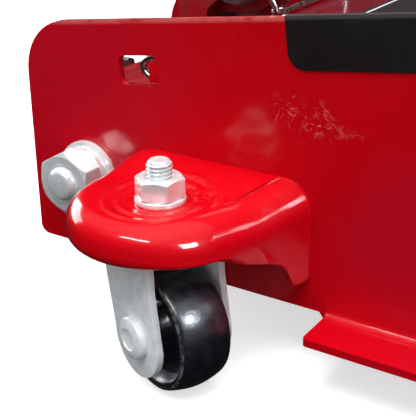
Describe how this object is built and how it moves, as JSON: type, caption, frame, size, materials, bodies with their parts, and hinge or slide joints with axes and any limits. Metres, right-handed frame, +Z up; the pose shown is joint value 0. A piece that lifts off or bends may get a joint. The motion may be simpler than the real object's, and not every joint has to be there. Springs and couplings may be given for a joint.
{
  "type": "hydraulic trolley jack",
  "caption": "Low rolling floor jack: two folded side plates hold a pump and ram that raise a lift arm with a levelled saddle; front wheels and swivel casters under welded brackets.",
  "frame": {"origin": "on the floor under the middle of the bounding box, handle at its lower stop and arm lowered", "axes": "+X towards the saddle end, +Y to the left side, +Z up"},
  "size_m": [1.0088, 0.244, 0.7306],
  "materials": {
    "red_paint": "gloss red paint",
    "cover_paint": "dark red paint",
    "black_label": "satin black sticker",
    "cover_label": "plain grey sticker",
    "zinc_plate": "bright zinc plating",
    "black_wheel": "black gloss paint over cast iron",
    "bare_steel": "machined steel",
    "ram_chrome": "hard chrome",
    "black_metal": "black paint",
    "spring_steel": "drawn spring wire",
    "grip_rubber": "black rubber"
  },
  "bodies": {
    "frame": {"side_plate_right": "red_paint", "side_plate_left": "red_paint", "caster_bracket_right": "red_paint", "caster_bracket_left": "red_paint", "top_cover": "cover_paint", "top_label": "cover_label", "side_decals": "black_label", "spring_anchors": "red_paint", "front_axle": "bare_steel", "front_axle_caps": "zinc_plate", "front_cross_tube": "red_paint", "rear_tie_bolt": "zinc_plate", "rear_flat_washers": "zinc_plate", "rear_spring_washers": "zinc_plate", "rear_nuts": "zinc_plate", "pump_block": "red_paint", "reservoir_tube": "black_metal", "ram_cylinder": "bare_steel", "cylinder_gland": "black_metal", "oil_filler_plug": "zinc_plate", "pump_spring": "spring_steel", "handle_pivot_pin": "bare_steel", "handle_torsion_spring": "spring_steel", "arm_pivot_shaft": "bare_steel", "arm_pivot_nuts": "zinc_plate", "level_link_studs": "zinc_plate", "caster_studs": "zinc_plate", "caster_nuts": "zinc_plate", "caster_washers": "zinc_plate", "return_springs": "spring_steel"},
    "ram": {"ram_rod": "ram_chrome", "ram_piston": "bare_steel", "piston_seal": "grip_rubber", "ram_crosshead": "bare_steel", "spring_bar": "bare_steel"},
    "lift_arm": {"lift_arm_right": "red_paint", "lift_arm_left": "red_paint", "arm_cross_members": "red_paint", "arm_lug_pin": "bare_steel", "saddle_pin": "bare_steel"},
    "level_links": {"level_links": "zinc_plate"},
    "saddle_base": {"saddle_base": "black_metal", "level_link_pin": "zinc_plate"},
    "saddle": {"saddle": "black_metal"},
    "front_wheel_right": {"front_wheel_right": "black_wheel"},
    "front_wheel_left": {"front_wheel_left": "black_wheel"},
    "caster_fork_right": {"caster_fork_right": "zinc_plate", "caster_axle_right": "zinc_plate"},
    "caster_fork_left": {"caster_fork_left": "zinc_plate", "caster_axle_left": "zinc_plate"},
    "caster_wheel_right": {"caster_wheel_right": "black_wheel"},
    "caster_wheel_left": {"caster_wheel_left": "black_wheel"},
    "handle": {"handle_socket": "red_paint", "handle_lower_tube": "black_metal", "handle_upper_tube": "black_metal", "handle_grip": "grip_rubber", "handle_lock_screw": "zinc_plate"},
    "pump_roller": {"pump_roller": "bare_steel"},
    "pump_plunger": {"pump_plunger": "bare_steel"},
    "release_valve": {"release_valve": "bare_steel"}
  },
  "joints": [
    {"name": "arm_lift", "type": "hinge", "parent": "frame", "child": "lift_arm", "pos_m": [0.15344, 0, 0.128], "axis": [0, -1, 0], "range_deg": [0, 62]},
    {"name": "ram_slide", "type": "slide", "parent": "frame", "child": "ram", "axis": [1, 0, 0], "range_m": [0, 0.0641], "deforming": ["return_springs"]},
    {"name": "link_lift", "type": "hinge", "parent": "frame", "child": "level_links", "pos_m": [0.16806, 0, 0.09953], "axis": [0, -1, 0], "range_deg": [0, 62]},
    {"name": "saddle_level", "type": "hinge", "parent": "lift_arm", "child": "saddle_base", "pos_m": [0.45277, 0, 0.108], "axis": [0, 1, 0], "range_deg": [0, 62]},
    {"name": "saddle_turn", "type": "hinge", "parent": "saddle_base", "child": "saddle", "pos_m": [0.45277, 0, 0.108], "axis": [0, 0, 1], "continuous": true},
    {"name": "front_wheel_right_spin", "type": "hinge", "parent": "frame", "child": "front_wheel_right", "pos_m": [0.46644, -0.072, 0.038], "axis": [0, 1, 0], "continuous": true},
    {"name": "front_wheel_left_spin", "type": "hinge", "parent": "frame", "child": "front_wheel_left", "pos_m": [0.46644, 0.072, 0.038], "axis": [0, 1, 0], "continuous": true},
    {"name": "caster_right_swivel", "type": "hinge", "parent": "frame", "child": "caster_fork_right", "pos_m": [-0.01326, -0.0902, 0.0255], "axis": [0, 0, 1], "continuous": true},
    {"name": "caster_right_spin", "type": "hinge", "parent": "caster_fork_right", "child": "caster_wheel_right", "pos_m": [-0.00723, -0.09263, 0.0255], "axis": [0.3746, 0.9272, 0], "continuous": true},
    {"name": "caster_left_swivel", "type": "hinge", "parent": "frame", "child": "caster_fork_left", "pos_m": [-0.01326, 0.0902, 0.0255], "axis": [0, 0, 1], "continuous": true},
    {"name": "caster_left_spin", "type": "hinge", "parent": "caster_fork_left", "child": "caster_wheel_left", "pos_m": [-0.00723, 0.09263, 0.0255], "axis": [-0.3746, 0.9272, 0], "continuous": true},
    {"name": "handle_pump", "type": "hinge", "parent": "frame", "child": "handle", "pos_m": [-0.01356, 0, 0.15], "axis": [0, 1, 0], "range_deg": [0, 44]},
    {"name": "pump_roller_spin", "type": "hinge", "parent": "handle", "child": "pump_roller", "pos_m": [-0.04323, 0, 0.13801], "axis": [0, 1, 0], "continuous": true},
    {"name": "pump_plunger_slide", "type": "slide", "parent": "frame", "child": "pump_plunger", "axis": [0, 0, 1], "range_m": [0, 0.0242], "deforming": ["pump_spring"]},
    {"name": "release_valve_turn", "type": "hinge", "parent": "frame", "child": "release_valve", "pos_m": [-0.09856, 0, 0.088], "axis": [1, 0, 0], "range_deg": [0, 540]}
  ],
  "couplings": [
    {"joint": "ram_slide", "follows": "arm_lift", "m_per_rad": 0.059019},
    {"joint": "link_lift", "follows": "arm_lift", "ratio": 1},
    {"joint": "saddle_level", "follows": "arm_lift", "ratio": 1},
    {"joint": "pump_plunger_slide", "follows": "handle_pump", "m_per_rad": 0.031219}
  ]
}
